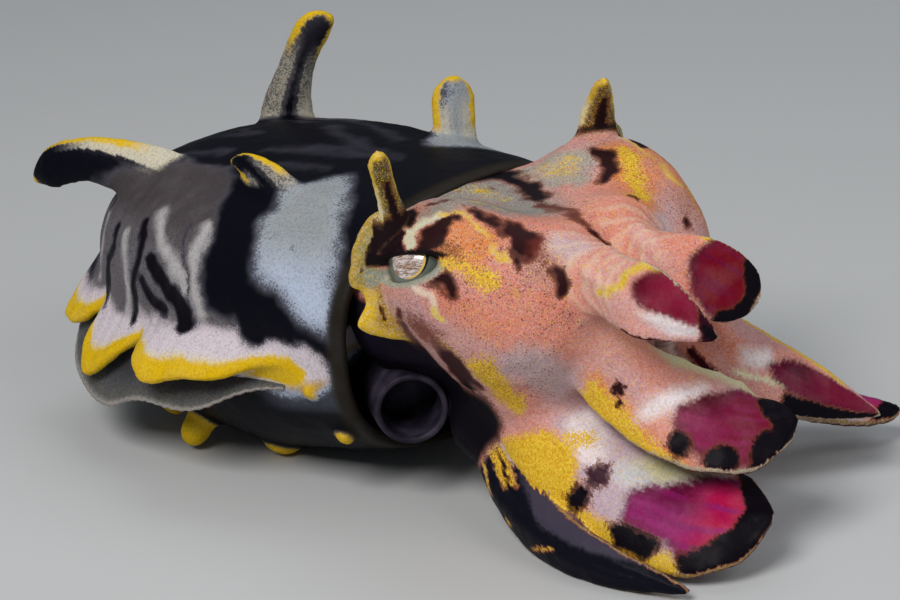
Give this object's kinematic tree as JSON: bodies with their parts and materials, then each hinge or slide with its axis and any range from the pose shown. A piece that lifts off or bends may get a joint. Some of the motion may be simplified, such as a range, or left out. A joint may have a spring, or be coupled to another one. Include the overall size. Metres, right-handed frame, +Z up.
{
  "type": "flamboyant cuttlefish",
  "caption": "Life-size cuttlefish model, walking pose: broad mantle with raised papillae, flank lobes and fins, head with lidded eyes, bent funnel, fanned flat arms with suckers.",
  "frame": {"origin": "middle of the outline, on the floor that the belly and the lower arms rest on", "axes": "+X towards the animal's left, -Y the way the head and arms point, +Y towards the tail, +Z up"},
  "size_m": [0.0522, 0.0902, 0.0388],
  "materials": {
    "mantle": "moist skin, blue-black with bluish white and yellow patches",
    "head": "moist skin, salmon pink with brown and gold speckle",
    "eye": "polished, golden silver with a dark pupil",
    "arm": "moist skin, salmon, white and magenta with yellow edges",
    "funnel": "moist, smooth grey violet",
    "fin": "moist, thin grey membrane",
    "flank": "moist skin, lilac white with yellow edges",
    "papilla": "moist skin, black with yellow rims",
    "brow": "moist skin, brown with yellow rims",
    "cheek": "moist skin, yellow with dark dots",
    "mouth": "moist, pale lips round a dark beak"
  },
  "bodies": {
    "root": {"mantle": "mantle", "head": "head", "eye_right": "eye", "eye_left": "eye", "arm_1_right": "arm", "arm_1_left": "arm", "arm_2_right": "arm", "arm_2_left": "arm", "arm_3_right": "arm", "arm_3_left": "arm", "arm_4_right": "arm", "arm_4_left": "arm", "mouth": "mouth", "funnel": "funnel", "fin_right": "fin", "fin_left": "fin", "flank_flap_right": "flank", "flank_flap_left": "flank", "papilla_rear_right": "papilla", "papilla_rear_left": "papilla", "papilla_middle_right": "papilla", "papilla_middle_left": "papilla", "brow_papilla_right": "brow", "brow_papilla_left": "brow", "cheek_flap_right": "cheek", "cheek_flap_left": "cheek"}
  },
  "joints": []
}
